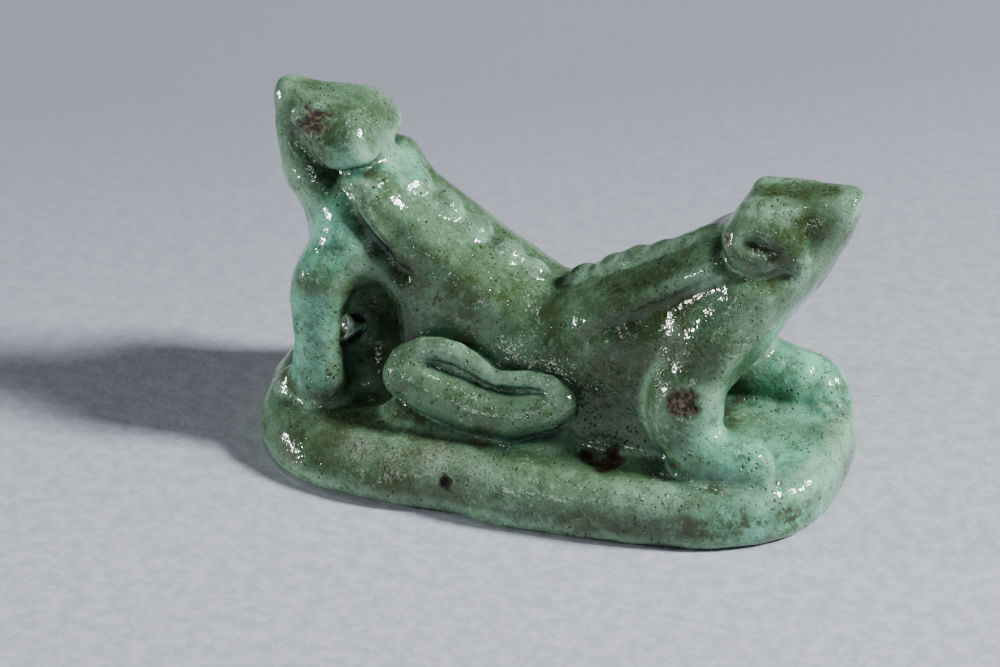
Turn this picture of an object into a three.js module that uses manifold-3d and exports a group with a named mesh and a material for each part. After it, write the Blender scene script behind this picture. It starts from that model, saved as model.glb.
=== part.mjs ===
// A faience scaraboid: two frogs sit back to back on one oval plinth, moulded in one piece and glazed green.
// Millimetres, +Z up. X runs along the plinth, from the higher frog (-X) to the lower one (+X).
// The origin is under the middle of the plinth, on the surface it rests on.
import * as THREE from "three";
import { mergeVertices } from "three/addons/utils/BufferGeometryUtils.js";
import Module from "manifold-3d";

const wasm = await Module();
wasm.setup();

// The whole amulet.
const LENGTH = 29.6; // the oval plinth, end to end
const WIDTH = 16.9; // the oval plinth, across
const HEIGHT = 18.1; // underside to the raised snout
const PLINTH_THICKNESS = 3.1;
const PLINTH_EDGE = 0.75; // radius that the mould left on both rims
const PLINTH_SQUARENESS = 3; // 2 is a true ellipse, more fills out the corners
const PLINTH_ASKEW = 2.6; // degrees by which the plinth is turned under the figures
const WAIST_DEPTH = 0.35; // the dent in the near rim
const FULLNESS = 0.3; // by which the near rim swells beside the dent
const HOLE_DIAMETER = 1.1; // threading hole between the higher frog's forelegs and belly
const KNOB_COUNT = 6; // vertebrae along each spine
const KNOB_LENGTH = 1.5;
const KNOB_WIDTH = 1.7;
const KNOB_RISE = 0.5;
const TOE_GROOVES = 4; // between the spread toes at the lower frog's end
const TOE_GROOVE_WIDTH = 0.5;

// Thicknesses of the limbs, as radii.
const ARM_R = 1.45;
const FOOT_R = 1.5; // of the lower frog
const SHIN_R = 1.2; // lower fold of the hind leg
const THIGH_R = 0.7; // upper fold of the hind leg
const BACK_R = 1.95;
const BACK_FLAT = 1.0; // half width of the flat strip that carries the vertebrae
const BELLY_R = 3.9;
const HAUNCH_R = 4.4; // where the flanks spread on the plinth

// How far neighbouring masses melt into each other under the glaze.
const SOFT = 1.6;
const SMOOTH = 1;
const FIRM = 0.6;
const CRISP = 0.4;

const FACET = 0.66; // edge length of the modelled surface's facets
const FAIRING_ROUNDS = 4;

// Places are given as shares of the block that the figures are cut from: u of the half length, v of the
// half width, h of the height above the plinth.
const halfLength = LENGTH / 2;
const halfWidth = WIDTH / 2;
const figureHeight = HEIGHT - PLINTH_THICKNESS;
const at = (u, v, h) =>
  new THREE.Vector3(u * halfLength, v * halfWidth, PLINTH_THICKNESS + h * figureHeight);
const radians = THREE.MathUtils.degToRad;

// Solids are described by their distance to the surface, negative inside.
function melt(a, b, soft) {
  const near = Math.max(soft - Math.abs(a - b), 0) / soft;
  return Math.min(a, b) - (near * near * soft) / 4;
}
const pare = (a, b, soft) => -melt(-a, -b, soft);

// A round limb from a to b that tapers from radius ra to rb.
function limb(p, a, b, ra, rb) {
  const dx = b.x - a.x;
  const dy = b.y - a.y;
  const dz = b.z - a.z;
  const px = p.x - a.x;
  const py = p.y - a.y;
  const pz = p.z - a.z;
  const t = THREE.MathUtils.clamp((px * dx + py * dy + pz * dz) / (dx * dx + dy * dy + dz * dz), 0, 1);
  return Math.hypot(px - dx * t, py - dy * t, pz - dz * t) - (ra + (rb - ra) * t);
}

// A limb of several joints, each with its own radius.
function limbs(p, joints, radii) {
  let d = Infinity;
  for (let i = 1; i < joints.length; i++)
    d = Math.min(d, limb(p, joints[i - 1], joints[i], radii[i - 1], radii[i]));
  return d;
}

// An egg with half axes r, its nose raised by tilt degrees.
function egg(p, centre, r, tilt = 0) {
  const c = Math.cos(radians(tilt));
  const s = Math.sin(radians(tilt));
  const x0 = p.x - centre.x;
  const z0 = p.z - centre.z;
  const x = (x0 * c + z0 * s) / r.x;
  const y = (p.y - centre.y) / r.y;
  const z = (z0 * c - x0 * s) / r.z;
  const k0 = Math.hypot(x, y, z);
  const k1 = Math.hypot(x / r.x, y / r.y, z / r.z);
  return (k0 * (k0 - 1)) / Math.max(k1, 1e-6);
}

// A flat cut through a point; what lies behind the normal stays.
const facet = (point, nx, ny, nz) =>
  new THREE.Plane().setFromNormalAndCoplanarPoint(new THREE.Vector3(nx, ny, nz).normalize(), point);

// Squared distance to a line drawn on the flank, seen from the side.
function flankDistance(p, line) {
  let d = Infinity;
  for (let i = 1; i < line.length; i++) {
    const a = line[i - 1];
    const b = line[i];
    const dx = b.x - a.x;
    const dz = b.z - a.z;
    const t = THREE.MathUtils.clamp(
      ((p.x - a.x) * dx + (p.z - a.z) * dz) / (dx * dx + dz * dz), 0, 1);
    d = Math.min(d, (p.x - a.x - dx * t) ** 2 + (p.z - a.z - dz * t) ** 2);
  }
  return d;
}

// The frog with the raised head. Its nose points along +u here; the model mirrors it to -X.
const raised = {
  rump: at(0, 0, 0.22),
  neck: at(0.568, 0, 0.58),
  belly: at(0.034, 0, 0.12),
  chest: at(0.493, 0, 0.353),
  chestR: 3.2,
  haunch: [at(0.034, 0, -0.02), at(0.338, 0, 0.02)],
  breast: [at(0.736, 0, 0.647), at(0.601, 0, 0.087)],
  breastR: [2.5, 3],
  arm: [at(0.635, 0.189, 0.7), at(0.689, 0.296, 0.54), at(0.743, 0.367, 0.393)],
  armR: [1, 1.2, ARM_R],
  leg: [at(0.743, 0.367, 0.393), at(0.757, 0.402, 0.327),
    at(0.75, 0.402, 0.193), at(0.75, 0.426, 0.02)],
  legR: [ARM_R, ARM_R, 1.4, ARM_R],
  foot: [at(0.736, 0.426, 0.013), at(0.851, 0.402, -0.007)],
  footR: [1.3, 0.9],
  eye: at(0.669, 0.154, 0.857),
  eyeR: new THREE.Vector3(2.2, 1.05, 1.1),
  eyeMelt: 1.8,
  pupil: null,
  bump: at(0.824, 0.178, 0.9), // on the cheek
  bumpR: new THREE.Vector3(1, 0.6, 0.8),
  throat: facet(at(1.017, 0, 0.807), 1, 0, -0.39),
  throatEdge: 0.9,
  crown: facet(at(0.845, 0, 0.987), -0.2, 0, 1),
  temple: facet(at(0.845, 0.142, 0.987), 0, 1, 0.42),
  muzzle: facet(at(1, 0.112, 0.8), 0.4, 1, 0),
  snout: facet(at(1, 0, 0.8), 1, 0, 0),
  nape: facet(at(0.611, 0, 0.873), -1, 0, 0.3),
  jaw: facet(at(0.845, 0, 0.68), -0.6, 0, -1),
  knobs: [0.08, 0.515],
  carving: [
    { line: [at(0.676, 0, 0.7), at(0.568, 0, 0.553), at(0.466, 0, 0.467)], width: 0.6, depth: 0.42 },
    { line: [at(0.608, 0, 0.68), at(0.466, 0, 0.5)], width: 0.6, depth: -0.22 },
    { line: [at(0.878, 0, 0.833), at(0.824, 0, 0.773), at(0.743, 0, 0.72)], width: 0.65, depth: 0.6 },
    { line: [at(0.743, 0, 0.747), at(0.662, 0, 0.787), at(0.568, 0, 0.8)], width: 0.5, depth: 0.3 },
  ],
};

// The frog with the lower, level head. Its nose points along +X.
const level = {
  rump: at(0, 0, 0.24),
  neck: at(0.568, 0, 0.563),
  belly: at(0.034, 0, 0.12),
  chest: at(0.5, 0, 0.327),
  chestR: 3.5,
  haunch: [at(0.101, 0, -0.02), at(0.473, 0, 0.007)],
  breast: [at(0.743, 0, 0.613), at(0.608, 0, 0.087)],
  breastR: [3.1, 3],
  arm: [at(0.689, 0.225, 0.607), at(0.635, 0.32, 0.433), at(0.574, 0.391, 0.273)],
  armR: [1.5, 1.9, 1.8],
  leg: [at(0.527, 0.438, 0.22), at(0.534, 0.497, 0.14), at(0.581, 0.521, 0.08)],
  legR: [1.4, ARM_R, 1.3],
  foot: [at(0.601, 0.533, 0.047), at(0.77, 0.509, 0.04)],
  footR: [FOOT_R, FOOT_R - 0.15],
  eye: at(0.73, 0.249, 0.753),
  eyeR: new THREE.Vector3(2.2, 0.9, 1.45),
  eyeMelt: 1,
  pupil: at(0.74, 0.361, 0.783),
  bump: at(0.547, 0.479, 0.187), // the elbow
  bumpR: new THREE.Vector3(1.6, 1.45, 1.5),
  throat: facet(at(0.956, 0, 0.713), 0.85, 0.22, -0.48),
  throatEdge: 0.5,
  crown: facet(at(0.777, 0, 0.897), -0.14, 0, 1),
  temple: facet(at(0.777, 0.178, 0.893), 0, 1, 0.5),
  muzzle: facet(at(1.108, 0.118, 0.8), 0.42, 1, 0),
  snout: facet(at(1.044, 0, 0.8), 1, 0, 0),
  nape: facet(at(0.595, 0, 0.793), -1, 0, 0.25),
  jaw: facet(at(0.777, 0, 0.587), -0.6, 0, -1),
  knobs: [0.088, 0.5],
  carving: [
    { line: [at(0.608, 0, 0.627), at(0.486, 0, 0.54), at(0.385, 0, 0.467)], width: 0.65, depth: 0.42 },
    { line: [at(0.588, 0, 0.68), at(0.372, 0, 0.54), at(0.176, 0, 0.413)], width: 0.65, depth: -0.3 },
    {
      line: [at(0.601, 0, 0.72), at(0.662, 0, 0.68), at(0.75, 0, 0.667),
        at(0.824, 0, 0.693), at(0.872, 0, 0.753)],
      width: 0.55,
      depth: 0.45,
    },
  ],
};

// Rump, back and belly of one frog.
function trunk(p, frog) {
  const q = p.clone();
  q.y = Math.max(q.y - BACK_FLAT, 0);
  const back = limb(q, frog.rump, frog.neck, BACK_R, BACK_R);
  return melt(back, limb(p, frog.belly, frog.chest, BELLY_R, frog.chestR), SOFT);
}

// Height of the back's crest at a share u of the half length, found by halving.
function crest(frog, u) {
  const p = at(u, 0, 0.2);
  let low = p.z;
  let high = HEIGHT;
  while (high - low > 1e-3) {
    p.z = (low + high) / 2;
    if (trunk(p, frog) < 0) low = p.z;
    else high = p.z;
  }
  return at(u, 0, 0).setZ(low);
}

for (const frog of [raised, level])
  frog.vertebrae = Array.from({ length: KNOB_COUNT }, (_, i) =>
    crest(frog, THREE.MathUtils.lerp(...frog.knobs, i / (KNOB_COUNT - 1))));
const knobR = new THREE.Vector3(KNOB_LENGTH / 2, KNOB_WIDTH / 2, KNOB_RISE);
const pupilR = new THREE.Vector3(0.85, 0.6, 0.5);

// One frog, in its own frame: nose along +x, y is the distance from the plane of symmetry.
function frogDistance(p, frog) {
  let d = melt(trunk(p, frog), limb(p, ...frog.haunch, HAUNCH_R, HAUNCH_R), SOFT);
  d = melt(d, limb(p, ...frog.breast, ...frog.breastR), SOFT);
  d = melt(d, limbs(p, frog.arm, frog.armR), SOFT);
  d = pare(d, frog.throat.distanceToPoint(p), frog.throatEdge);

  // The head is a wedge cut with flats, like the block it was carved from.
  let head = frog.crown.distanceToPoint(p);
  for (const cut of [frog.throat, frog.muzzle, frog.snout, frog.nape, frog.jaw, frog.temple])
    head = pare(head, cut.distanceToPoint(p), SMOOTH);
  head = melt(head, egg(p, frog.eye, frog.eyeR), frog.eyeMelt);
  head = pare(head, frog.nape.distanceToPoint(p), 1);
  if (frog.pupil) head = pare(head, -egg(p, frog.pupil, pupilR), CRISP);
  d = melt(d, head, FIRM);
  d = melt(d, egg(p, frog.bump, frog.bumpR), FIRM);

  d = melt(d, limbs(p, frog.leg, frog.legR), SMOOTH);
  d = melt(d, limbs(p, frog.foot, frog.footR), FIRM);
  for (const knob of frog.vertebrae) d = melt(d, egg(p, knob, knobR, 25), CRISP);

  // Grooves and ridges drawn on the flank fade out before they reach the spine.
  const side = THREE.MathUtils.smoothstep(p.y, 0.5, 1.3);
  for (const { line, width, depth } of frog.carving)
    d += side * depth * Math.exp(-flankDistance(p, line) / width ** 2);
  return d;
}

// The two frogs share one pair of hind legs, folded flat into a long loop against the belly.
const shin = [at(-0.412, 0.533, 0.153), at(-0.291, 0.562, 0.117), at(-0.149, 0.58, 0.087),
  at(-0.041, 0.586, 0.083), at(0.068, 0.568, 0.12), at(0.122, 0.544, 0.147)];
const shinR = [SHIN_R + 0.1, SHIN_R + 0.15, SHIN_R + 0.05, SHIN_R - 0.05, SHIN_R - 0.2, SHIN_R - 0.4];
const thigh = [at(-0.412, 0.521, 0.2), at(-0.358, 0.521, 0.257), at(-0.264, 0.521, 0.253),
  at(-0.169, 0.521, 0.21), at(-0.101, 0.533, 0.18)];
const thighR = [THIGH_R + 0.3, THIGH_R, THIGH_R - 0.05, THIGH_R - 0.1, THIGH_R - 0.25];
const calf = [at(-0.095, 0.533, 0.193), at(0.014, 0.533, 0.21),
  at(0.081, 0.533, 0.21), at(0.128, 0.544, 0.167)];
const calfR = [THIGH_R - 0.28, THIGH_R - 0.28, THIGH_R - 0.25, THIGH_R - 0.05];

const footing = [at(-0.405, 0.509, -0.027), at(0.081, 0.544, -0.04)]; // the ledge that the loop lies on
const footingR = [1.4, 1.2];
// Flesh in the loop.
const fold = [at(-0.331, 0.438, 0.213), at(-0.149, 0.45, 0.173), at(0.088, 0.444, 0.187)];
const foldR = [0.7, 0.6, 0.6];
// The flat mass under the lower frog's far foot.
const sole = [at(0.622, 0.544, 0.02), at(0.838, 0.521, -0.007)];
const soleR = [1.8, 1.5];

// Deep hollow between the raised frog's foreleg and belly, and the shallow one under the other's chest.
const armpit = [at(-0.574, 0.58, 0.447), at(-0.588, 0.379, 0.3), at(-0.588, 0.343, 0.14),
  at(-0.581, 0.391, 0.06)];
const armpitR = [0.6, 1.2, 1.35, 1.2];
const pocket = [at(-0.649, 0.343, 0.213), at(-0.716, 0.213, 0.18), at(-0.858, 0, 0.107)];
const pocketR = [0.85, 0.65, 0.75];
const underChest = [at(0.845, 0, 0.193), at(0.662, 0, 0.127)];
const underChestR = [1.6, 1.2];

// The figures, down to their roots inside the plinth.
const side = new THREE.Vector3();
const folded = new THREE.Vector3();
function figureDistance(p) {
  folded.set(p.x, Math.abs(p.y), p.z);
  side.set(-p.x, folded.y, p.z);
  const left = frogDistance(side, raised);
  side.x = p.x;
  const right = frogDistance(side, level);
  let d = melt(left, right, 0.5);
  const loop = Math.min(...[[shin, shinR], [thigh, thighR], [calf, calfR]]
    .map(([joints, radii]) => limbs(folded, joints, radii)));
  d = melt(d, limb(folded, ...footing, ...footingR), FIRM);
  d = melt(d, limb(p, ...sole, ...soleR), FIRM);
  d = melt(Math.min(d, limbs(folded, fold, foldR)), loop, CRISP);
  d = pare(d, -limbs(folded, armpit, armpitR), FIRM);
  d = pare(d, -limbs(folded, pocket, pocketR), CRISP);
  d = pare(d, -limb(folded, ...underChest, ...underChestR), FIRM);
  return Math.max(d, PLINTH_THICKNESS - 0.9 - p.z);
}

// Moves a point near the surface onto it, by at most reach.
function settled(distance, point, reach) {
  const p = point.clone();
  const slope = new THREE.Vector3();
  const e = 0.02;
  for (let round = 0; round < 3; round++) {
    const d = distance(p);
    for (const axis of ["x", "y", "z"]) {
      p[axis] += e;
      slope[axis] = (distance(p) - d) / e;
      p[axis] -= e;
    }
    p.addScaledVector(slope, (-0.8 * d) / Math.max(slope.lengthSq(), 0.25));
  }
  return p.sub(point).clampLength(0, reach).add(point);
}

// Turns a distance function into a closed mesh: one vertex in each cell that the surface crosses, and one
// pair of triangles round each grid edge that it cuts.
function modelled(distance, box, step) {
  const size = box.getSize(new THREE.Vector3()).divideScalar(step).ceil().addScalar(1);
  const [nx, ny, nz] = size.toArray();
  const index = (i, j, k) => (i * ny + j) * nz + k;
  const value = new Float64Array(nx * ny * nz);
  const p = new THREE.Vector3();
  const corner = (i, j, k) => p.set(i, j, k).multiplyScalar(step).add(box.min);
  for (let i = 0; i < nx; i++)
    for (let j = 0; j < ny; j++)
      for (let k = 0; k < nz; k++) value[index(i, j, k)] = distance(corner(i, j, k)) || 1e-9;

  // Where inside and outside meet only across a diagonal, the thinner outside corner is filled, so that
  // every edge of the mesh has exactly two faces.
  const offsets = [index(1, 0, 0), index(0, 1, 0), index(0, 0, 1)];
  const fill = (a, b) => {
    value[value[a] < value[b] ? a : b] = -1e-6;
  };
  for (let doubtful = true; doubtful; ) {
    doubtful = false;
    for (let i = 0; i < nx - 1; i++)
      for (let j = 0; j < ny - 1; j++)
        for (let k = 0; k < nz - 1; k++) {
          const o = index(i, j, k);
          for (let a = 0; a < 3; a++) {
            const u = offsets[a];
            const v = offsets[(a + 1) % 3];
            const s = [o, o + u, o + v, o + u + v].map((n) => value[n] < 0);
            if (s[0] === s[3] && s[1] === s[2] && s[0] !== s[1]) {
              if (s[0]) fill(o + u, o + v);
              else fill(o, o + u + v);
              doubtful = true;
            }
          }
          for (let c = 0; c < 4; c++) {
            const bits = [0, 1, 2, 3, 4, 5, 6, 7].map(
              (n) => o + (n & 1) * offsets[0] + ((n >> 1) & 1) * offsets[1] + (n >> 2) * offsets[2]);
            const inside = bits.filter((n) => value[n] < 0);
            const pair = value[bits[c]] < 0 === value[bits[7 - c]] < 0;
            const within = inside.includes(bits[c]);
            const apart = within ? inside.length === 2 : inside.length === 6;
            if (pair && apart) {
              const outside = bits.filter((n) => value[n] >= 0);
              value[outside.reduce((m, n) => (value[n] < value[m] ? n : m))] = -1e-6;
              doubtful = true;
            }
          }
        }
  }

  // Pockets that can't be reached from outside are filled too.
  const open = new Uint8Array(value.length);
  const reached = [0];
  open[0] = 1;
  while (reached.length) {
    const o = reached.pop();
    const place = [Math.floor(o / (ny * nz)), Math.floor(o / nz) % ny, o % nz];
    for (let a = 0; a < 3; a++)
      for (const way of [-1, 1]) {
        const next = o + way * offsets[a];
        const there = place[a] + way;
        if (there < 0 || there >= [nx, ny, nz][a] || open[next] || value[next] < 0) continue;
        open[next] = 1;
        reached.push(next);
      }
  }
  value.forEach((d, n) => {
    if (d >= 0 && !open[n]) value[n] = -1e-6;
  });

  const vertexOf = new Map();
  const vertices = [];
  const vertex = (i, j, k) => {
    const key = index(i, j, k);
    if (vertexOf.has(key)) return vertexOf.get(key);
    const sum = new THREE.Vector3();
    let crossings = 0;
    for (let n = 0; n < 8; n++)
      for (let a = 0; a < 3; a++) {
        if ((n >> a) & 1) continue;
        const at0 = [i + (n & 1), j + ((n >> 1) & 1), k + (n >> 2)];
        const at1 = at0.slice();
        at1[a]++;
        const d0 = value[index(...at0)];
        const d1 = value[index(...at1)];
        if (d0 < 0 === d1 < 0) continue;
        sum.add(new THREE.Vector3(...at0).lerp(new THREE.Vector3(...at1), d0 / (d0 - d1)));
        crossings++;
      }
    const id = vertices.push(sum.divideScalar(crossings).multiplyScalar(step).add(box.min)) - 1;
    vertexOf.set(key, id);
    return id;
  };

  const quads = [];
  for (let i = 1; i < nx - 1; i++)
    for (let j = 1; j < ny - 1; j++)
      for (let k = 1; k < nz - 1; k++) {
        const here = value[index(i, j, k)] < 0;
        for (let a = 0; a < 3; a++) {
          if (here === value[index(i, j, k) + offsets[a]] < 0) continue;
          const quad = [[1, 1], [0, 1], [0, 0], [1, 0]].map(([du, dv]) => {
            const cell = [i, j, k];
            cell[(a + 1) % 3] -= du;
            cell[(a + 2) % 3] -= dv;
            return vertex(...cell);
          });
          quads.push(here ? quad : quad.reverse());
        }
      }

  // Even the facets out: each vertex moves towards the middle of its neighbours, then back to the surface.
  const neighbours = vertices.map(() => new Set());
  for (const quad of quads)
    quad.forEach((n, corner) => neighbours[n].add(quad[(corner + 1) % 4]).add(quad[(corner + 3) % 4]));
  for (let round = 0; round < FAIRING_ROUNDS; round++) {
    const moved = vertices.map((vertex, n) => {
      const mean = new THREE.Vector3();
      for (const m of neighbours[n]) mean.add(vertices[m]);
      return settled(distance, mean.divideScalar(neighbours[n].size).lerp(vertex, 0.5), 0.3 * step);
    });
    moved.forEach((vertex, n) => vertices[n].copy(vertex));
  }

  // The shorter diagonal of each quad follows the form better.
  const triangles = quads.flatMap(([a, b, c, d]) =>
    vertices[a].distanceTo(vertices[c]) < vertices[b].distanceTo(vertices[d])
      ? [a, b, c, a, c, d]
      : [b, c, d, b, d, a]);
  return new wasm.Manifold(new wasm.Mesh({
    numProp: 3,
    vertProperties: new Float32Array(vertices.flatMap((vertex) => vertex.toArray())),
    triVerts: new Uint32Array(triangles),
  }));
}

// Geometry and solids, back and forth.
function solid(geometry) {
  const bare = geometry.clone();
  bare.deleteAttribute("normal");
  bare.deleteAttribute("uv");
  const merged = mergeVertices(bare, 1e-4);
  return new wasm.Manifold(new wasm.Mesh({
    numProp: 3,
    vertProperties: new Float32Array(merged.attributes.position.array),
    triVerts: new Uint32Array(merged.index.array),
  }));
}

function geometryOf(body) {
  const { numProp, vertProperties, triVerts } = body.getMesh();
  const positions = new Float32Array((vertProperties.length / numProp) * 3);
  for (let i = 0; i * 3 < positions.length; i++)
    positions.set(vertProperties.subarray(i * numProp, i * numProp + 3), i * 3);
  const geometry = new THREE.BufferGeometry();
  geometry.setAttribute("position", new THREE.BufferAttribute(positions, 3));
  geometry.setIndex(new THREE.BufferAttribute(triVerts, 1));
  geometry.computeVertexNormals();
  return geometry;
}

// A smooth hump of height 1 round a middle.
const swell = (x, middle, width) => Math.exp(-(((x - middle) / width) ** 2));

// The plinth: a full oval slab with both rims rounded over, a shallow waist and a swelling on the near side.
function plinth() {
  const a = halfLength - PLINTH_EDGE;
  const b = halfWidth - PLINTH_EDGE;
  const points = [];
  for (let i = 0; i < 64; i++) {
    const angle = (i / 64) * 2 * Math.PI;
    const c = Math.cos(angle);
    const s = Math.sin(angle);
    const n = PLINTH_SQUARENESS;
    const r = (Math.abs(c / a) ** n + Math.abs(s / b) ** n) ** (-1 / n);
    const dent = WAIST_DEPTH * swell(r * c / halfLength, -0.22, 0.12);
    const fullness = FULLNESS * swell(r * c / halfLength, -0.64, 0.24);
    points.push(new THREE.Vector2(r * c, r * s + (s < 0 ? dent - fullness : 0)));
  }
  const slab = new THREE.ExtrudeGeometry(new THREE.Shape(points), {
    depth: PLINTH_THICKNESS - 2 * PLINTH_EDGE,
    bevelThickness: PLINTH_EDGE,
    bevelSize: PLINTH_EDGE,
    bevelSegments: 3,
  });
  return slab.translate(0, 0, PLINTH_EDGE).rotateZ(radians(PLINTH_ASKEW));
}

// Grooves between the toes, pressed into the top of the plinth in a fan.
function toeGrooves() {
  const length = 0.14 * halfLength;
  return Array.from({ length: TOE_GROOVES }, (_, i) => {
    const spread = THREE.MathUtils.lerp(-1, 1, i / (TOE_GROOVES - 1));
    const groove = new THREE.CapsuleGeometry(TOE_GROOVE_WIDTH / 2, length, 3, 8);
    groove.rotateZ(-Math.PI / 2 + radians(14 * spread));
    const centre = at(0.86 - 0.03 * Math.abs(spread), 0.3 * spread, 0);
    return solid(groove.translate(centre.x, centre.y, centre.z + TOE_GROOVE_WIDTH * 0.1));
  });
}

const reach = new THREE.Box3(
  at(-1.12, -0.95, 0).setZ(PLINTH_THICKNESS - 1.6),
  at(1.18, 0.95, 1.06),
);
let amulet = solid(plinth()).add(modelled(figureDistance, reach, FACET));
for (const groove of toeGrooves()) amulet = amulet.subtract(groove);
const drill = new THREE.CylinderGeometry(HOLE_DIAMETER / 2, HOLE_DIAMETER / 2, 0.5 * halfWidth, 20);
amulet = amulet.subtract(solid(drill.translate(...at(-0.682, 0, 0.2).toArray())));

const glaze = new THREE.MeshStandardMaterial({ color: 0x6d9b84, roughness: 0.22, metalness: 0 });
const frogs = new THREE.Mesh(geometryOf(amulet), glaze);
frogs.name = "double_frog";

const scaraboid = new THREE.Group();
scaraboid.name = "frog_scaraboid";
scaraboid.add(frogs);

export default scaraboid;
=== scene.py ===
# %% [markdown]
# # A double frog in glazed faience
# The real object is a pierced amulet about 30 mm long: two frogs sit back to back on one oval base.
# It was pressed in a mould from a paste of ground quartz, trimmed, pierced, glazed and fired as one.
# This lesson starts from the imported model, which gives the size and the place of the piece, and builds
# the fine form and the glaze around it.

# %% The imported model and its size
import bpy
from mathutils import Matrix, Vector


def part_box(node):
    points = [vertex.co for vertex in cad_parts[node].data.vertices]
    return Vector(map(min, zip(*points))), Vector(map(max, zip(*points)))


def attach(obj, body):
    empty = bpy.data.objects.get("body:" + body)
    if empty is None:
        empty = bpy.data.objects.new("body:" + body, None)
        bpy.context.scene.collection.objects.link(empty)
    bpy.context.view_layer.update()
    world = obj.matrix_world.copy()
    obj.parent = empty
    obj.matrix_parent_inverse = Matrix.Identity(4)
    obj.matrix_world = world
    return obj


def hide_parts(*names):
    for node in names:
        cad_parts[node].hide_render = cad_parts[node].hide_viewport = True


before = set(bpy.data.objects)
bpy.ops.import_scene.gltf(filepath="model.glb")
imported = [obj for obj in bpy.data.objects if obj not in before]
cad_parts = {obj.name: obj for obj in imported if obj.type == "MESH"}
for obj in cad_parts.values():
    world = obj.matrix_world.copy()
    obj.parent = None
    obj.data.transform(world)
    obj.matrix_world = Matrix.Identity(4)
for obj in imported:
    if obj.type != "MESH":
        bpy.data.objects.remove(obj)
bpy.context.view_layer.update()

from types import SimpleNamespace as Frog

import bpy
import numpy as np
from mathutils import Matrix, Vector

low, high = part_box("double_frog")
CAD_LENGTH_MM = 30.01
mm = (high.x - low.x) / CAD_LENGTH_MM
print(f"the packed piece is {high.x - low.x:.4f} m long, so one modelling millimetre is {mm:.6f} m")

# %% [markdown]
# ## The camera
# The object was photographed from a little above, with a long lens, so that near and far ends look
# almost the same size. The camera is placed by its two angles and its distance, and the object is
# slid across the picture to where it stands in the photograph.

# %% The camera
AZIMUTH, ELEVATION = np.radians(20.0), np.radians(30.0)
CAMERA_DISTANCE_MM = 240
SENSOR_WIDTH = 36.0
PICTURE_WIDTH, PICTURE_HEIGHT = 1000, 667
PIXELS_PER_MM = 20.0
BASE_CENTRE_PIXEL = (557, 445)
NEAREST_SEEN, FARTHEST_SEEN = 0.01, 10


def stand_camera():
    right = Vector((np.cos(AZIMUTH), np.sin(AZIMUTH), 0))
    up = Vector((-np.sin(AZIMUTH) * np.sin(ELEVATION), np.cos(AZIMUTH) * np.sin(ELEVATION),
                 np.cos(ELEVATION)))
    back = right.cross(up)
    slide = ((BASE_CENTRE_PIXEL[0] - PICTURE_WIDTH / 2) / PIXELS_PER_MM * mm,
             (PICTURE_HEIGHT / 2 - BASE_CENTRE_PIXEL[1]) / PIXELS_PER_MM * mm)
    data = bpy.data.cameras.new("studio_camera")
    data.sensor_width = SENSOR_WIDTH
    data.lens = SENSOR_WIDTH * PIXELS_PER_MM * CAMERA_DISTANCE_MM / PICTURE_WIDTH
    data.clip_start, data.clip_end = NEAREST_SEEN, FARTHEST_SEEN
    camera = bpy.data.objects.new("studio_camera", data)
    place = back * (CAMERA_DISTANCE_MM * mm) - right * slide[0] - up * slide[1]
    camera.matrix_world = Matrix.Translation(place) @ Matrix((right, up, back)).transposed().to_4x4()
    bpy.context.collection.objects.link(camera)
    bpy.context.scene.camera = camera
    return camera


camera = stand_camera()
print(f"the lens is {camera.data.lens:.1f} mm at {CAMERA_DISTANCE_MM} mm from the object")

# %% [markdown]
# ## Modelling in soft clay: a distance field
# A form like this could be sculpted by hand, or put together from spheres and remeshed. Here it is a
# distance field: a function that says how far any point is from the surface. Fields melt into each
# other with a radius that is named, as a thumb smooths one lump of paste into the next, and a groove
# is one line of code. Places are in millimetres. A place p is x, y and z on the whole piece. A place q
# is u, v and z on one frog: u runs out from the middle of the base towards its nose, v away from its
# spine and z up, so that both frogs and both flanks can use the same functions.

# %% How two forms meet
def melt(a, b, radius):
    """Two forms joined, with the corner between them filled."""
    share = np.maximum(radius - np.abs(a - b), 0) / radius
    return np.minimum(a, b) - share * share * radius / 4


def pare(a, b, radius):
    """What lies in both forms, with the edge between them rounded."""
    return -melt(-a, -b, radius)


# %% The simple forms
def limb(p, start, end, start_radius, end_radius):
    """A tapered, round-ended bar."""
    start, end = np.array(start, np.float32), np.array(end, np.float32)
    way = end - start
    x, y, z = p[0] - start[0], p[1] - start[1], p[2] - start[2]
    t = np.clip((x * way[0] + y * way[1] + z * way[2]) / float(way @ way), 0, 1)
    away = np.sqrt((x - way[0] * t) ** 2 + (y - way[1] * t) ** 2 + (z - way[2] * t) ** 2)
    return away - (start_radius + (end_radius - start_radius) * t)


def limbs(p, points, radii):
    """A chain of bars."""
    parts = [limb(p, *ends, *sizes) for ends, sizes in
             zip(zip(points[:-1], points[1:]), zip(radii[:-1], radii[1:]))]
    return np.minimum.reduce(parts)


def egg(p, centre, radii, tilt=0.0):
    """An ellipsoid, tilted nose up by some degrees."""
    x, y, z = (p[i] - centre[i] for i in range(3))
    if tilt:
        s, c = np.sin(np.radians(tilt)), np.cos(np.radians(tilt))
        x, z = x * c + z * s, -x * s + z * c
    inner = np.sqrt((x / radii[0]) ** 2 + (y / radii[1]) ** 2 + (z / radii[2]) ** 2)
    slope = np.sqrt((x / radii[0] ** 2) ** 2 + (y / radii[1] ** 2) ** 2 + (z / radii[2] ** 2) ** 2)
    return inner * (inner - 1) / np.maximum(slope, 1e-6)


def facet(p, point, normal):
    """The side of a flat cut: negative behind the plane."""
    n = np.array(normal, float)
    n = n / np.linalg.norm(n)
    return (p[0] - point[0]) * n[0] + (p[1] - point[1]) * n[1] + (p[2] - point[2]) * n[2]


def swell(value, centre, width):
    """A smooth hump of height one."""
    return np.exp(-((value - centre) / width) ** 2)


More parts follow.
